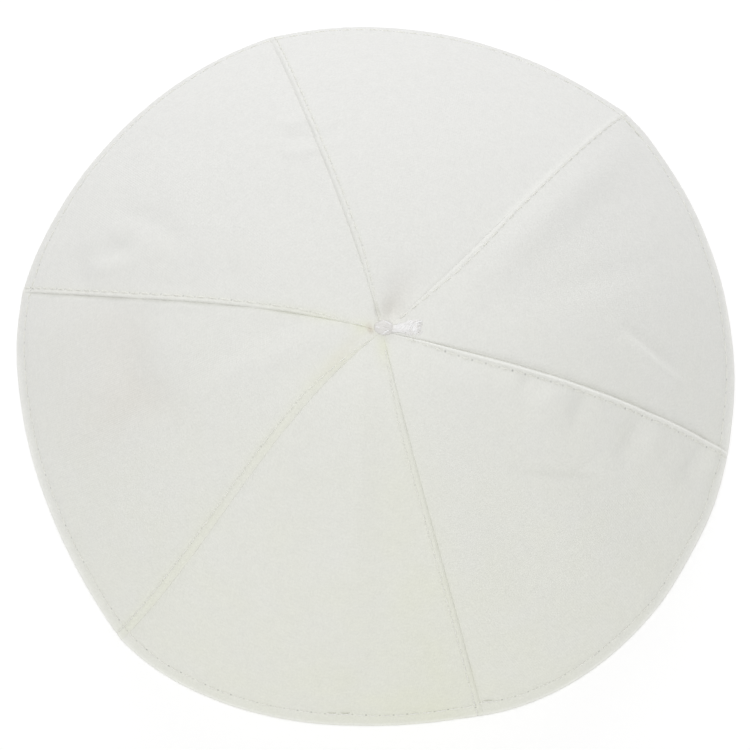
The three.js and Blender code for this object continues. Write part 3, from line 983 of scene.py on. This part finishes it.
def cotton_material(finish):
    """Plain-weave cotton, bleached, washed and pressed: matt and soft, with a faint cross grain of
    slightly thick and thin threads, and a little yellow where it has aged. Its attributes also paint
    highlights on crests and folds, and shade in needle holes and in a hollow beside the stem."""
    material, tree = new_material("plain_weave_cotton")
    cloth = uv_map(tree, "cloth")
    place = object_place(tree)

    # Real threads lie about 0.33 mm apart. They are drawn 0.5 mm apart, so that they still show.
    # One band of the wave texture is pi / 10 wide at a scale of 1.
    thread = 0.5 * MM
    over = node(tree, "ShaderNodeTexChecker", {}, {"Vector": cloth, "Scale": 1 / thread})
    bands = [
        node(
            tree, "ShaderNodeTexWave",
            {"wave_type": "BANDS", "bands_direction": direction, "wave_profile": "SIN"},
            {"Vector": cloth, "Scale": math.pi / (10 * thread), "Distortion": 0.6,
             "Detail": 1.0, "Detail Scale": 0.3}).outputs["Fac"]
        for direction in ("X", "Y")
    ]
    weave = between(tree, over.outputs["Fac"], *bands)

    # Slubs: one noise stretched along the warp and one along the weft.
    slubs = []
    for scale in ((0.25, 1, 1), (1, 0.25, 1)):
        stretched = node(tree, "ShaderNodeMapping", {}, {"Vector": cloth, "Scale": scale})
        slubs.append(speckle(tree, stretched.outputs["Vector"], 0.6 * MM))
    slub = between(tree, 0.5, *slubs)

    # Tones: of the slubs, of tufts of loose fibre 1 to 3 mm wide, that keep the cloth from looking
    # printed, and of single thick spots of yarn, as wide as one thread.
    fibre = speckle(tree, place, 2.2 * MM, 4, 0.6)
    speck = speckle(tree, cloth, 0.55 * MM)
    tones = ranged(tree, slub, *MOST, 0.98, 1.012)
    tones = product(tree, tones, ranged(tree, fibre, *MOST, 0.985, 1.012))
    tones = product(tree, tones, ranged(tree, speck, *MOST, 0.973, 1.027))

    # Painted shade in the needle holes, one at each whole stitch of the two UV maps that follow
    # the stitched lines.
    holes = []
    for name in ("seam_line", "rim_line"):
        parts = node(tree, "ShaderNodeSeparateXYZ", {}, {"Vector": uv_map(tree, name)})
        nearest = node(
            tree, "ShaderNodeMath", {"operation": "PINGPONG"}, {0: parts.outputs["X"], 1: 0.5})
        gap = node(
            tree, "ShaderNodeCombineXYZ", {}, {"X": nearest.outputs[0], "Y": parts.outputs["Y"]})
        reach = node(tree, "ShaderNodeVectorMath", {"operation": "LENGTH"}, {0: gap.outputs[0]})
        soft = {"interpolation_type": "SMOOTHSTEP"}
        holes.append(ranged(tree, reach.outputs["Value"], 0.02, 0.12, 1, 0, soft))
    either = node(tree, "ShaderNodeMath", {"operation": "MAXIMUM"}, {0: holes[0], 1: holes[1]})
    # Some holes gape and others have closed.
    gape = ranged(tree, speckle(tree, place, 3 * MM), 0.4, 0.65, 0.3, 1)
    hole_shade = product(tree, product(tree, either.outputs[0], gape), attribute(tree, "pierced"))
    # Open holes darken the cotton down to 0.58 of its tone: painted shade inside them.
    tones = product(tree, tones, ranged(tree, hole_shade, 0, 1, 1, 0.58))

    # Yellow where doubled or handled; a few brown marks, some of them painted shade; painted
    # highlight on crests, a crease, the crown and the rim's fold.
    patchy = ranged(tree, speckle(tree, place, 9 * MM, 3), *MOST, 0.75, 1.1)
    shade = colour(finish.cloth)
    for name, tint in zip(CLOTH_MARKS, (finish.yellowed, finish.rust, finish.paled)):
        amount = product(tree, attribute(tree, name), patchy, clamp=True)
        shade = tinted(tree, amount, shade, colour(tint))

    threads = bumped(tree, weave, 0.35, 0.06 * MM)
    close_material(tree, {
        "Base Color": scaled(tree, shade, tones),
        "Normal": bumped(tree, slub, 0.25, 0.12 * MM, Normal=threads),
        "Roughness": 0.92, "IOR": 1.5, "Specular IOR Level": 0.3,
        "Sheen Weight": 0.12, "Sheen Roughness": 0.5})
    return material


def thread_material(name, tint, handled, settings):
    """Two or more plies of spun or filament yarn: fine fibres that run along the thread in a twist.
    The attribute "handled" says where it has the second colour."""
    material, tree = new_material(name)
    twist = node(
        tree, "ShaderNodeMapping", {},
        {"Vector": uv_map(tree, "thread"), "Rotation": (0, 0, math.radians(25))})
    # About twelve bundles of fibre show round one ply.
    fibres = node(
        tree, "ShaderNodeTexWave", {"wave_type": "BANDS", "bands_direction": "X"},
        {"Vector": twist.outputs["Vector"], "Scale": 3.8, "Distortion": 1.5, "Detail": 2.0}
    ).outputs["Fac"]
    shade = tinted(tree, attribute(tree, "handled"), colour(tint), colour(handled))
    close_material(tree, {
        "Base Color": scaled(tree, shade, ranged(tree, fibres, 0, 1, 0.93, 1.03)),
        "Normal": bumped(tree, fibres, 0.3, 0.02 * MM), **settings})
    return material


def sewing_thread_material(finish):
    """Spun polyester sewing thread: matt with a low glint."""
    return thread_material(
        "spun_polyester_thread", finish.thread, finish.thread,
        {"Roughness": 0.6, "IOR": 1.5, "Sheen Weight": 0.2, "Sheen Roughness": 0.4})


def satin_thread_material(finish):
    """Rayon satin thread: bright filament with a long soft highlight, cooler than the cotton."""
    return thread_material(
        "rayon_satin_thread", finish.satin, finish.handled,
        {"Roughness": 0.3, "IOR": 1.52, "Sheen Weight": 0.3, "Sheen Roughness": 0.3,
         "Anisotropic": 0.5})


def floor_material(finish, glow):
    """Opal acrylic of a photographer's light table: matt white, lit faintly from below."""
    material, tree = new_material("opal_acrylic")
    # A sanded face, with a grain of about 1 mm.
    sanded = speckle(tree, object_place(tree), 1 * MM)
    close_material(tree, {
        "Base Color": colour(finish.floor), "Normal": bumped(tree, sanded, 0.05, 0.02 * MM),
        "Roughness": 0.9, "Specular IOR Level": 0.1,
        "Emission Color": (1, 1, 1, 1), "Emission Strength": glow})
    return material


def shared_material(maker, name, finish):
    """The material of that name, made when it is first asked for."""
    return bpy.data.materials.get(name) or maker(finish)


def settings_survey(context):
    settings = context.scene.zucchetto
    return Survey(settings.cloth, settings.sewing)


# ---- Operators ----------------------------------------------------------------------------------
class ZUCCHETTO_OT_lay_gores(bpy.types.Operator):
    """Lays the six gores of cloth, with their welts, turned hem and wear"""

    bl_idname = "zucchetto.lay_gores"
    bl_label = "Lay gores"

    def execute(self, context):
        survey = settings_survey(context)
        finish = context.scene.zucchetto.finish
        cotton = shared_material(cotton_material, "plain_weave_cotton", finish)
        sheet = gore_sheet()
        for gore in range(len(SEAMS)):
            cloth = lay_gore(survey, gore, sheet)
            finish_piece(
                cloth, f"gore_cloth_{gore + 1}", cotton, [f"gore_{gore + 1}"])
        sheet.free()
        return {"FINISHED"}


STITCH_SIDES = 5
STITCH_RINGS = 6
HOLE_SHARE = 0.05  # share of a stitch's pitch hidden in each hole
SEAM_STEP = 0.01  # share of the way down by which its direction is read


def on_cloth(survey, place, inside, aside):
    """Point of a face of the cloth at a place, with the directions out of it and aside."""
    if inside:
        return place.point - place.out * inner_depth(survey, place), -place.out, aside
    return place.point + place.out * outer_lift(survey, place), place.out, aside


def seam_surface(survey, gore, inside):
    """The cloth along the topstitching of the seam after a gore, for lengths from the rim up."""
    seam = (gore + 1) % len(SEAMS)

    def surface(length):
        down = find(survey.seam_lengths[gore], length)
        width = read(survey.widths[gore], down)
        scale = min(1, width / FULL_WIDTH)
        across = 1 - stitched_line(seam, down, scale) / width
        place = place_at(survey, gore, across, down)
        following = place_at(survey, gore, across, down - SEAM_STEP)
        aside = (following.point - place.point).cross(place.out).normalized()
        return on_cloth(survey, place, inside, aside)

    return surface


def rim_surface(survey, inside):
    """The cloth along the stitching of the rim, for lengths counter-clockwise from the first seam."""
    def surface(length):
        gore = 0
        while gore < len(SEAMS) - 1 and length > survey.rim_lengths[gore][-1]:
            gore += 1
        across = find(survey.rim_lengths[gore], length)
        row = gore_row(gore, across)
        down = survey.down_at(row, rim_line_at(survey, row))
        place = place_at(survey, gore, across, down)
        aside = place.out.cross(Vector((-place.out.y, place.out.x, 0))).normalized()
        return on_cloth(survey, place, inside, aside)

    return surface


def sew_line(target, template, surface, pitch, thread, stitches):
    """Lays stitches along a line. They are counted from its start, and need not be whole."""
    hidden = pitch * HOLE_SHARE
    for i in stitches:
        lay_stitch(target, template, i * pitch + hidden, (i + 1) * pitch - hidden, surface, thread)


class ZUCCHETTO_OT_sew_seams(bpy.types.Operator):
    """Sews the topstitching beside the six seams, on both faces of the cloth"""

    bl_idname = "zucchetto.sew_seams"
    bl_label = "Sew seams"

    def execute(self, context):
        settings = context.scene.zucchetto
        survey = settings_survey(context)
        material = shared_material(sewing_thread_material, "spun_polyester_thread", settings.finish)
        template = thread_template(STITCH_SIDES, STITCH_RINGS)
        pitch = settings.sewing.pitch
        thread = settings.sewing.thread
        for gore in range(len(SEAMS)):
            stitches = new_thread()
            count = int((survey.seam_lengths[gore][0] - LAST_STITCH) / pitch)
            for inside in (False, True):
                surface = seam_surface(survey, gore, inside)
                sew_line(stitches, template, surface, pitch, thread, range(count))
            seam = (gore + 1) % len(SEAMS) + 1
            finish_piece(stitches, f"seam_stitches_{seam}", material)
        template.free()
        return {"FINISHED"}


# Back-tacks: stitches sewn again where the rim's line starts and ends and where two seams end. They
# start at a stitch of the rim, counted from the first seam, and lie aside of the line.
Tack = namedtuple("Tack", "first count aside")
TACKS = [
    Tack(124.0, 2, 0.42), Tack(124.5, 2, -0.35),
    Tack(24.4, 2, 0.38), Tack(24.9, 1, -0.3), Tack(135.5, 1, 0.38), Tack(135.6, 1, -0.1),
]


class ZUCCHETTO_OT_sew_rim(bpy.types.Operator):
    """Sews the line of stitches that holds the hem, on both faces of the cloth"""

    bl_idname = "zucchetto.sew_rim"
    bl_label = "Sew rim"

    def execute(self, context):
        settings = context.scene.zucchetto
        survey = settings_survey(context)
        material = shared_material(sewing_thread_material, "spun_polyester_thread", settings.finish)
        template = thread_template(STITCH_SIDES, STITCH_RINGS)
        pitch = survey.rim_pitch
        thread = settings.sewing.thread
        for gore in range(len(SEAMS)):
            stitches = new_thread()
            first = math.ceil(survey.rim_lengths[gore][0] / pitch)
            last = math.ceil(survey.rim_lengths[gore][-1] / pitch)
            for inside in (False, True):
                surface = rim_surface(survey, inside)
                sew_line(stitches, template, surface, pitch, thread, range(first, last))
            surface = rim_surface(survey, False)
            for tack in TACKS:
                if not first <= tack.first < last:
                    continue

                def tacked(length, tack=tack, surface=surface):
                    point, out, aside = surface(length)
                    return point + aside * (tack.aside * MM), out, aside

                again = [tack.first + i for i in range(tack.count)]
                sew_line(stitches, template, tacked, pitch, thread, again)
            finish_piece(stitches, f"rim_stitches_{gore + 1}", material)
        template.free()
        return {"FINISHED"}


# The stem lies on the cloth towards +X: a rounded head over the apex, a waist and a twisted tail.
# Plan positions and sizes are millimetres, from the apex. Flatness is height by half width.
HEAD_FROM, HEAD_TO = Vector((-1.75, 0.85)), Vector((2.5, 0.75))
HEAD_RADIUS, HEAD_FLATNESS = 1.65, 0.45
TAIL_FROM, TAIL_TO = Vector((1.9, 0.50)), Vector((9.1, 1.05))
TAIL_RADIUS, TAIL_FLATNESS = 1.65, 0.36
WAIST_RADIUS = 0.75
TAIL_TURN = 0.7  # turns that a tail strand makes round the tail
LAYERS = ((1.0, 1.0), (0.9, 1.6))  # reach and thickness of the strands, layer by layer
CORE = 0.97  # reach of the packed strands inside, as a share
STRAND_SIDES = 6
STRAND_RINGS = 22
# The root under the head, how much higher and longer it is than the crown's hole is deep, and the
# knot inside.
ROOT_RADIUS, ROOT_HIGHER, ROOT_LONGER = 0.6 * MM, 0.1 * MM, 0.2 * MM
KNOT_RADIUS, KNOT_HALF_HEIGHT = 2.8 * MM, 0.8 * MM
LOOSE_THICK, LOOSE_DULLING = 1.05, 0.25  # thickness and dulling of the loose strands, kept low so they show lighter as painted highlight arcs
LOOSE_LIFT, LOOSE_TUCK = 0.16, 0.35  # their middle's height and how far their ends go in

# Single strands that lie loose across the stem, from (x, y) to (to_x, to_y).
Loose = namedtuple("Loose", "x y to_x to_y")
LOOSE = [
    Loose(0.5, 2.35, 2.3, 1.3),
    Loose(-0.1, -0.8, 1.6, 0.25),
    Loose(-1.7, 1.0, -0.5, 0.65),
    Loose(2.8, 0.75, 4.3, 1.95),
    Loose(3.1, 0.2, 5.3, 1.7),
    Loose(5.6, 1.7, 7.0, 2.5),
    Loose(6.8, 1.45, 5.6, -0.5),
    Loose(7.5, 0.9, 7.8, -0.9),
    Loose(8.2, 2.3, 7.8, 0.7),
    Loose(8.1, 2.0, 9.5, 2.4),
]


def head_reach(share):
    """Half width of the head at a share of its length."""
    return HEAD_RADIUS * math.sin(math.pi * mix(0.04, 0.94, share)) ** 0.6


def head_path(angle, layer, twist):
    """A strand over the head, from its blunt end to the waist."""
    def path(share):
        centre = HEAD_FROM.lerp(HEAD_TO, share)
        reach = head_reach(share) * layer
        turn = angle + twist * share
        height = HEAD_FLATNESS * reach * math.sin(turn)
        return Vector((centre.x, centre.y + reach * math.cos(turn), height)) * MM
    return path


def tail_reach(share):
    """Half width of the tail at a share of its length."""
    widened = mix(WAIST_RADIUS, TAIL_RADIUS, smooth(share, 0.25, 0.7))
    return widened * (1 - 0.2 * smooth(share, 0.85, 1))


def settled(share):
    """Share of its height that the tail keeps at a share of its length."""
    return 1 - 0.65 * smooth(share, 0.55, 1)


def tail_path(angle, layer, reach_end):
    """A strand twisted round the tail, from the waist to its loose end."""
    def path(share):
        centre = TAIL_FROM.lerp(TAIL_TO, share * reach_end)
        reach = tail_reach(share) * layer
        turn = angle - 2 * math.pi * TAIL_TURN * smooth(share, 0.1, 1)
        height = settled(share) * (TAIL_FLATNESS * reach * math.sin(turn))
        height -= 0.15 * smooth(share, 0.93, 1)
        return Vector((centre.x, centre.y + reach * math.cos(turn), height)) * MM
    return path


def stem_top(x, y):
    """Height of the stem's packed strands over a place on the cloth."""
    top = 0
    for start, end, reach, flatness in (
            (HEAD_FROM, HEAD_TO, head_reach, HEAD_FLATNESS),
            (TAIL_FROM, TAIL_TO, tail_reach, TAIL_FLATNESS)):
        share = (x - start.x) / (end.x - start.x)
        if 0 <= share <= 1:
            aside = (y - mix(start.y, end.y, share)) / reach(share)
            low = settled(share) if start is TAIL_FROM else 1
            lens = math.sqrt(max(0, 1 - aside * aside))
            top = max(top, low * (flatness * reach(share) * lens))
    return top


def loose_path(loose):
    """A strand over the stem, with both ends tucked in."""
    def path(share):
        x = mix(loose.x, loose.to_x, share)
        y = mix(loose.y, loose.to_y, share)
        tucked = LOOSE_TUCK * (1 - math.sin(math.pi * min(1, max(0, share))) ** 0.5)
        return Vector((x, y, stem_top(x, y) + LOOSE_LIFT - tucked)) * MM
    return path


def handled_share(point):
    """How far the satin has dulled at a place, millimetres from the apex: the head most, the loose
    end in streaks."""
    head = 1 - smooth(point.x, 1.9, 3.2)
    fan = smooth(point.x, 4.2, 6.0)
    streak = noise.noise(Vector((point.x / 1.6, (point.y + 0.35 * point.x) / 0.35, point.z / 0.35)))
    share = mix(mix(0.5, 0.58, fan), 1, head) + streak * mix(0.25, 0.9, fan)
    return min(1, max(0, share))


class ZUCCHETTO_OT_tie_stem(bpy.types.Operator):
    """Ties the short stem of satin thread over the point where the seams meet"""

    bl_idname = "zucchetto.tie_stem"
    bl_label = "Tie stem"

    def execute(self, context):
        settings = context.scene.zucchetto
        material = shared_material(satin_thread_material, "rayon_satin_thread", settings.finish)
        radius = settings.stem.strand / 2
        tuft = new_thread()
        template = thread_template(STRAND_SIDES, STRAND_RINGS)
        seat = Vector((APEX.x, APEX.y, settings.cloth.crown_height))

        def lay(path, thin=1.0):
            def taper(share):
                return radius * thin * (1 - 0.6 * smooth(share, 0.9, 1)) * smooth(share, -0.1, 0.06)
            lay_thread(tuft, template, lambda share: seat + path(share), taper)

        count = settings.stem.head_strands
        for layer, thin in LAYERS:
            for i in range(count):
                wobble = 0.25 * noise.noise(Vector((i * 0.83, layer, 2.1)))
                twist = 0.6 + 0.35 * noise.noise(Vector((i * 0.57, layer, 8.8)))
                lay(head_path(2 * math.pi * (i + wobble) / count, layer, twist), thin)
        count = settings.stem.tail_strands
        for layer, thin in LAYERS:
            for i in range(count):
                wobble = 0.5 * noise.noise(Vector((i * 0.61, layer, 5.4)))
                reach_end = 0.95 + 0.2 * noise.noise(Vector((i * 1.37, 7.7, layer)))
                lay(tail_path(2 * math.pi * (i + wobble) / count, layer, reach_end), thin)

        # Packed strands inside: one thick bent core for the head and one for the tail.
        def head_core(share):
            return Vector((*HEAD_FROM.lerp(HEAD_TO, share), 0)) * MM

        def tail_core(share):
            height = -0.2 * smooth(share, 0.85, 1)
            return Vector((*TAIL_FROM.lerp(TAIL_TO, share * 0.98), height)) * MM

        for path, reach, flatness in (
                (head_core, head_reach, HEAD_FLATNESS), (tail_core, tail_reach, TAIL_FLATNESS)):
            lay_thread(
                tuft, template, lambda share, path=path: seat + path(share),
                lambda share, reach=reach: CORE * reach(share) * MM, flatness)

        # The head's root goes down through the crown to its knot.
        middle = (STEM_LOW.z + seat.z) / 2 + ROOT_HIGHER
        bmesh.ops.create_cone(
            tuft, cap_ends=True, segments=24, radius1=ROOT_RADIUS, radius2=ROOT_RADIUS,
            depth=seat.z - STEM_LOW.z + ROOT_LONGER,
            matrix=Matrix.Translation((APEX.x, APEX.y, middle)))
        knot = Matrix.Translation((APEX.x, APEX.y, STEM_LOW.z + KNOT_HALF_HEIGHT))
        knot = knot @ Matrix.Diagonal((KNOT_RADIUS, KNOT_RADIUS, KNOT_HALF_HEIGHT, 1))
        bmesh.ops.create_uvsphere(tuft, u_segments=24, v_segments=12, radius=1, matrix=knot)
        handled = tuft.verts.layers.float.new("handled")
        for vert in tuft.verts:
            vert[handled] = handled_share((vert.co - seat) / MM)
        bound = len(tuft.verts)
        # Loose strands over the stem, coloured lighter than the head: real strands whose colour
        # paints highlight arcs.
        for loose in LOOSE:
            lay(loose_path(loose), LOOSE_THICK)
        tuft.verts.ensure_lookup_table()
        for vert in tuft.verts[bound:]:
            vert[handled] = LOOSE_DULLING
        template.free()
        finish_piece(tuft, "stem_tuft", material, ["stem"])
        return {"FINISHED"}


# Soft lamps round the cap: azimuth and elevation in degrees, power in watts.
Lamp = namedtuple("Lamp", "name azimuth elevation power")
LAMPS = [
    Lamp("lamp_above", 0, 90, 8.5),
    Lamp("lamp_behind", 90, 12, 6.5),
    Lamp("lamp_in_front", 270, 12, 3.4),
    Lamp("lamp_beside", 180, 12, 1.5),
]
LAMP_DISTANCE = 1.5
LAMP_SIZE = 0.9
FLOOR_RADIUS = 4
SENSOR = 36  # width of the camera's film, millimetres
AIM_RIGHT, AIM_UP = -0.125 * MM, -0.8 * MM  # where the camera looks, beside the rim's middle


def add_lamp(lamp, share):
    """A square area lamp that looks at the cap."""
    data = bpy.data.lights.new(lamp.name, "AREA")
    data.shape = "SQUARE"
    data.size = LAMP_SIZE
    data.energy = lamp.power * share
    azimuth = math.radians(lamp.azimuth)
    elevation = math.radians(lamp.elevation)
    level = math.cos(elevation)
    direction = Vector((level * math.cos(azimuth), level * math.sin(azimuth), math.sin(elevation)))
    made = bpy.data.objects.new(lamp.name, data)
    made.location = direction * LAMP_DISTANCE
    made.rotation_mode = "QUATERNION"
    made.rotation_quaternion = (-direction).to_track_quat("-Z", "Y")
    bpy.context.scene.collection.objects.link(made)


class ZUCCHETTO_OT_set_stage(bpy.types.Operator):
    """Sets the camera, the even light, the soft lamps and the floor"""

    bl_idname = "zucchetto.set_stage"
    bl_label = "Set stage"

    def execute(self, context):
        scene = context.scene
        stage = scene.zucchetto.stage

        floor_mesh = bmesh.new()
        bmesh.ops.create_circle(floor_mesh, cap_ends=True, segments=96, radius=FLOOR_RADIUS)
        mesh = bpy.data.meshes.new("floor")
        floor_mesh.to_mesh(mesh)
        floor_mesh.free()
        mesh.materials.append(floor_material(scene.zucchetto.finish, stage.table))
        floor = bpy.data.objects.new("floor", mesh)
        scene.collection.objects.link(floor)

        world = bpy.data.worlds.new("studio")
        world.use_nodes = True
        background = world.node_tree.nodes["Background"]
        background.inputs["Color"].default_value = (1, 1, 1, 1)
        background.inputs["Strength"].default_value = stage.fill
        scene.world = world
        scene.view_settings.view_transform = "Standard"
        for lamp in LAMPS:
            add_lamp(lamp, stage.lamps)

        data = bpy.data.cameras.new("camera")
        data.lens = stage.lens
        data.sensor_width = SENSOR
        camera = bpy.data.objects.new("camera", data)
        back = Vector((0, -math.cos(stage.elevation), math.sin(stage.elevation)))
        right = Vector((1, 0, 0))
        up = back.cross(right)
        camera.location = back * stage.distance + right * AIM_RIGHT + up * AIM_UP
        camera.rotation_mode = "QUATERNION"
        camera.rotation_quaternion = (-back).to_track_quat("-Z", "Y")
        scene.collection.objects.link(camera)
        scene.camera = camera
        return {"FINISHED"}


class ZUCCHETTO_PT_panel(bpy.types.Panel):
    """Settings and steps of the zucchetto"""

    bl_idname = "ZUCCHETTO_PT_panel"
    bl_label = "Zucchetto"
    bl_space_type = "VIEW_3D"
    bl_region_type = "UI"
    bl_category = "Zucchetto"

    def draw(self, context):
        everything = context.scene.zucchetto
        for part in type(everything).__annotations__:
            group = getattr(everything, part)
            box = self.layout.box()
            for name in type(group).__annotations__:
                box.prop(group, name)
        for operator in OPERATORS:
            self.layout.operator(operator.bl_idname)


OPERATORS = (
    ZUCCHETTO_OT_lay_gores, ZUCCHETTO_OT_sew_seams, ZUCCHETTO_OT_sew_rim, ZUCCHETTO_OT_tie_stem,
    ZUCCHETTO_OT_set_stage,
)
CLASSES = (
    ClothSettings, SewingSettings, StemSettings, FinishSettings, StageSettings, ZucchettoSettings,
    *OPERATORS, ZUCCHETTO_PT_panel,
)


def register():
    for cls in CLASSES:
        bpy.utils.register_class(cls)
    bpy.types.Scene.zucchetto = bpy.props.PointerProperty(type=ZucchettoSettings)


def unregister():
    del bpy.types.Scene.zucchetto
    for cls in reversed(CLASSES):
        bpy.utils.unregister_class(cls)


def main():
    register()
    bpy.ops.zucchetto.set_stage()
    bpy.ops.zucchetto.lay_gores()
    bpy.ops.zucchetto.sew_seams()
    bpy.ops.zucchetto.sew_rim()
    bpy.ops.zucchetto.tie_stem()


if __name__ == "__main__":
    main()
